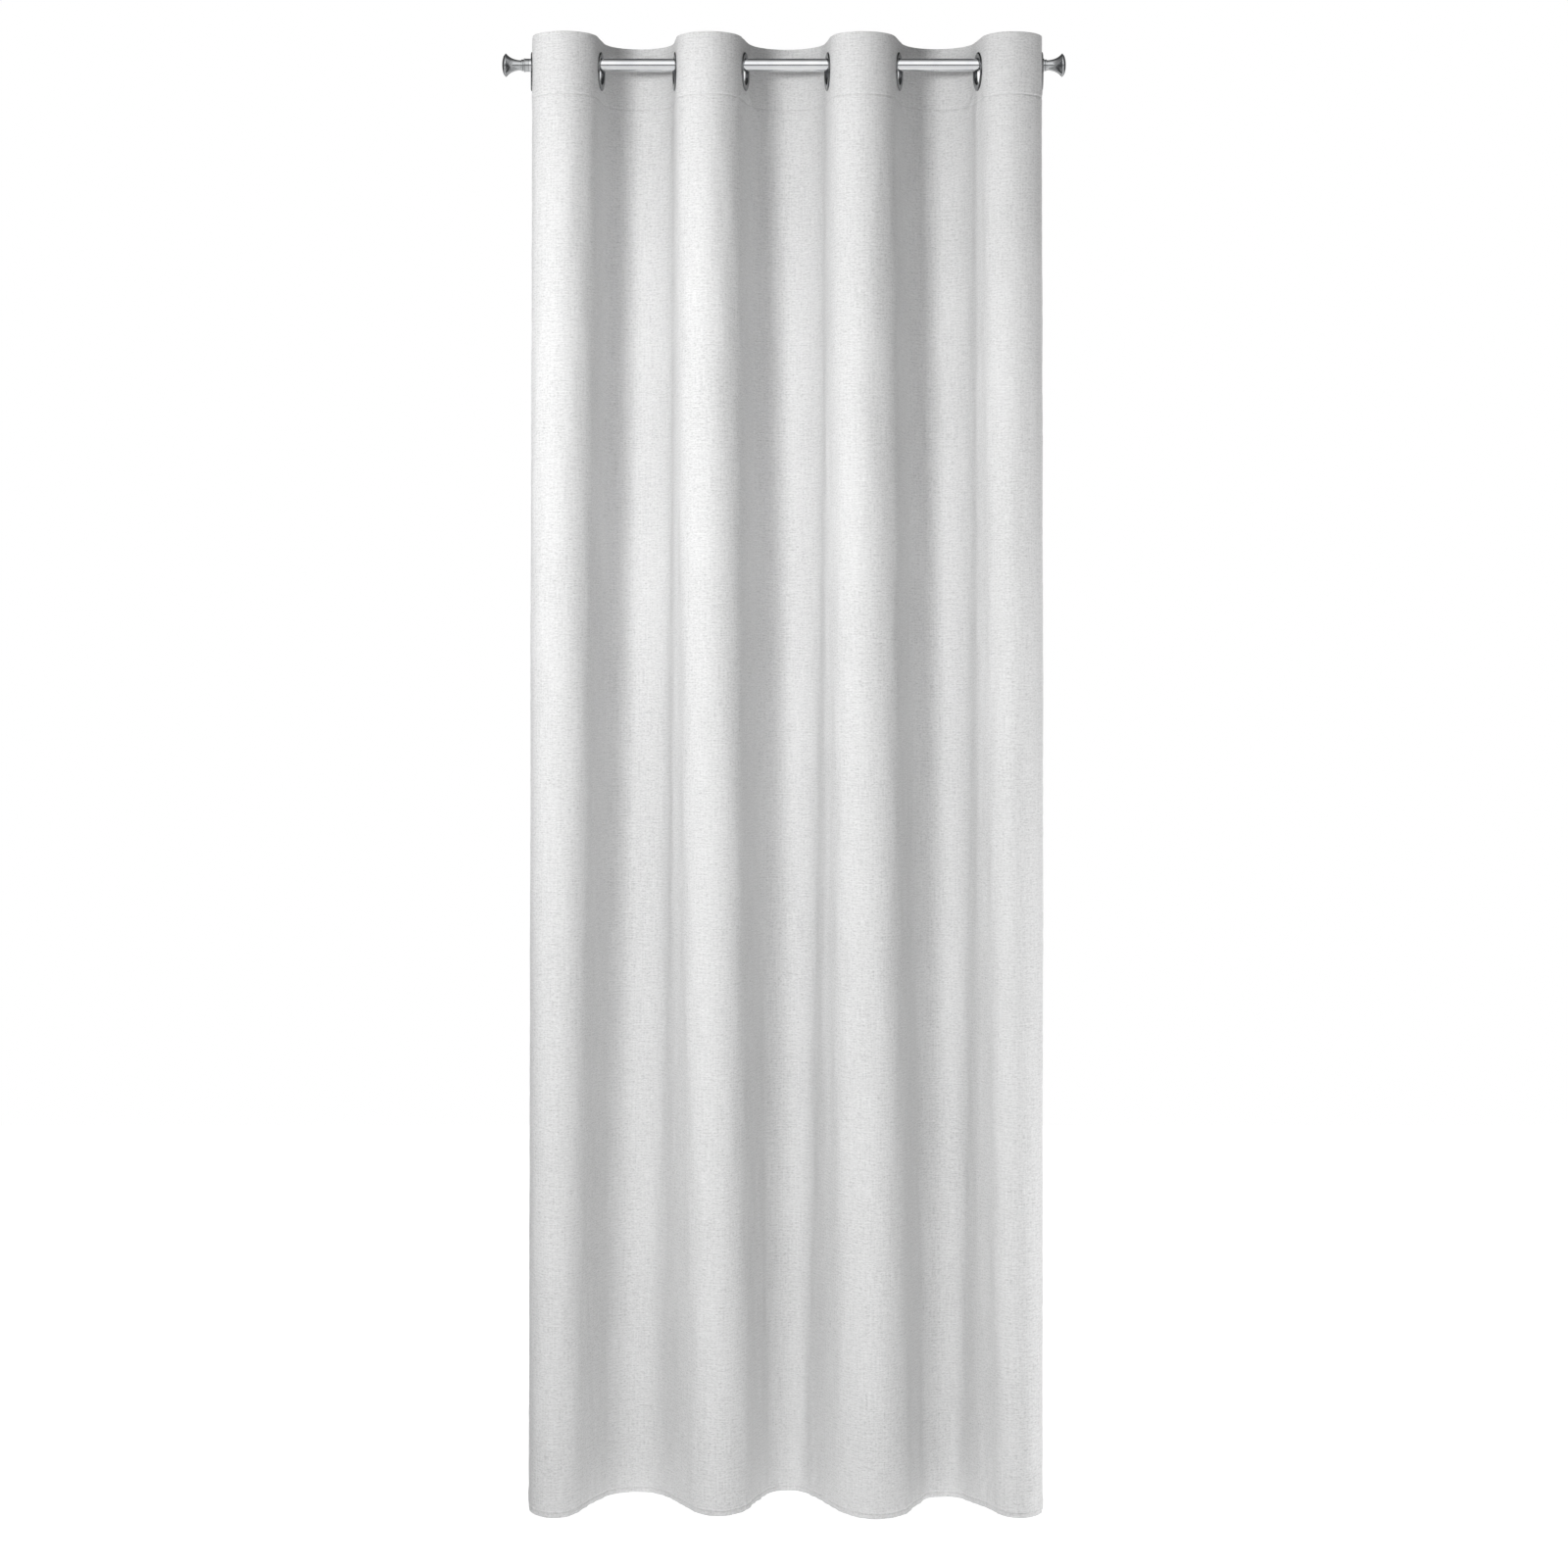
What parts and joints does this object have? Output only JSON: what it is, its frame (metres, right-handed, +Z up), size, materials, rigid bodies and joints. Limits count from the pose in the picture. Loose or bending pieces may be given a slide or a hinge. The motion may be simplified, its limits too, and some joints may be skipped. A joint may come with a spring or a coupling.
{
  "type": "eyelet curtain panel on a rod",
  "caption": "Light grey linen-look eyelet curtain panel that hangs in soft folds from a slim chrome rod with trumpet finials.",
  "frame": {"origin": "on the rod's axis, halfway along the rod", "axes": "+X along the rod to the viewer's right, -Y into the room, +Z up"},
  "size_m": [0.963, 0.1971, 2.5],
  "materials": {
    "rod_chrome": "polished chrome plate",
    "finial_chrome": "polished chrome plate, turned",
    "bush_nylon": "white moulded nylon",
    "eyelet_nickel": "metallised dark nickel, satin to bright",
    "linen_fabric": "light grey melange plain weave with slubs, matt",
    "header_buckram": "white non-woven stiffener"
  },
  "bodies": {
    "rod": {"curtain_rod": "rod_chrome", "rod_bush_left": "bush_nylon", "rod_bush_right": "bush_nylon"},
    "left_finial": {"finial_left": "finial_chrome"},
    "right_finial": {"finial_right": "finial_chrome"},
    "panel": {"eyelet_1_front": "eyelet_nickel", "eyelet_1_back": "eyelet_nickel", "fabric_fold_1": "linen_fabric", "header_tape_1": "header_buckram"},
    "eyelet_2": {"eyelet_2_front": "eyelet_nickel", "eyelet_2_back": "eyelet_nickel", "fabric_fold_2": "linen_fabric", "header_tape_2": "header_buckram"},
    "eyelet_3": {"eyelet_3_front": "eyelet_nickel", "eyelet_3_back": "eyelet_nickel", "fabric_fold_3": "linen_fabric", "header_tape_3": "header_buckram"},
    "eyelet_4": {"eyelet_4_front": "eyelet_nickel", "eyelet_4_back": "eyelet_nickel", "fabric_fold_4": "linen_fabric", "header_tape_4": "header_buckram"},
    "eyelet_5": {"eyelet_5_front": "eyelet_nickel", "eyelet_5_back": "eyelet_nickel", "fabric_fold_5": "linen_fabric", "header_tape_5": "header_buckram"},
    "eyelet_6": {"eyelet_6_front": "eyelet_nickel", "eyelet_6_back": "eyelet_nickel", "fabric_fold_6": "linen_fabric", "header_tape_6": "header_buckram"},
    "eyelet_7": {"eyelet_7_front": "eyelet_nickel", "eyelet_7_back": "eyelet_nickel"},
    "lead_edge": {"eyelet_8_front": "eyelet_nickel", "eyelet_8_back": "eyelet_nickel", "fabric_fold_7": "linen_fabric", "header_tape_7": "header_buckram"}
  },
  "joints": [
    {"name": "swing", "type": "hinge", "parent": "rod", "child": "panel", "pos_m": [0, 0, 0], "axis": [-1, 0, 0], "range_deg": [-5, 15]},
    {"name": "draw", "type": "slide", "parent": "panel", "child": "lead_edge", "axis": [-1, 0, 0], "range_m": [0, 0.45], "deforming": ["fabric_fold_1", "header_tape_1", "fabric_fold_2", "header_tape_2", "fabric_fold_3", "header_tape_3", "fabric_fold_4", "header_tape_4", "fabric_fold_5", "header_tape_5", "fabric_fold_6", "header_tape_6", "fabric_fold_7", "header_tape_7"]},
    {"name": "gather_2", "type": "slide", "parent": "panel", "child": "eyelet_2", "axis": [-1, 0, 0], "range_m": [0, 0.0232]},
    {"name": "gather_3", "type": "slide", "parent": "panel", "child": "eyelet_3", "axis": [-1, 0, 0], "range_m": [0, 0.0873]},
    {"name": "gather_4", "type": "slide", "parent": "panel", "child": "eyelet_4", "axis": [-1, 0, 0], "range_m": [0, 0.1706]},
    {"name": "gather_5", "type": "slide", "parent": "panel", "child": "eyelet_5", "axis": [-1, 0, 0], "range_m": [0, 0.2798]},
    {"name": "gather_6", "type": "slide", "parent": "panel", "child": "eyelet_6", "axis": [-1, 0, 0], "range_m": [0, 0.3647]},
    {"name": "gather_7", "type": "slide", "parent": "panel", "child": "eyelet_7", "axis": [-1, 0, 0], "range_m": [0, 0.4319]},
    {"name": "left_finial_pull", "type": "slide", "parent": "rod", "child": "left_finial", "axis": [-1, 0, 0], "range_m": [0, 0.045]},
    {"name": "right_finial_pull", "type": "slide", "parent": "rod", "child": "right_finial", "axis": [1, 0, 0], "range_m": [0, 0.045]}
  ],
  "couplings": [
    {"joint": "gather_2", "follows": "draw", "ratio": 0.04939},
    {"joint": "gather_3", "follows": "draw", "ratio": 0.19185},
    {"joint": "gather_4", "follows": "draw", "ratio": 0.377},
    {"joint": "gather_5", "follows": "draw", "ratio": 0.61965},
    {"joint": "gather_6", "follows": "draw", "ratio": 0.80815},
    {"joint": "gather_7", "follows": "draw", "ratio": 0.9576}
  ]
}
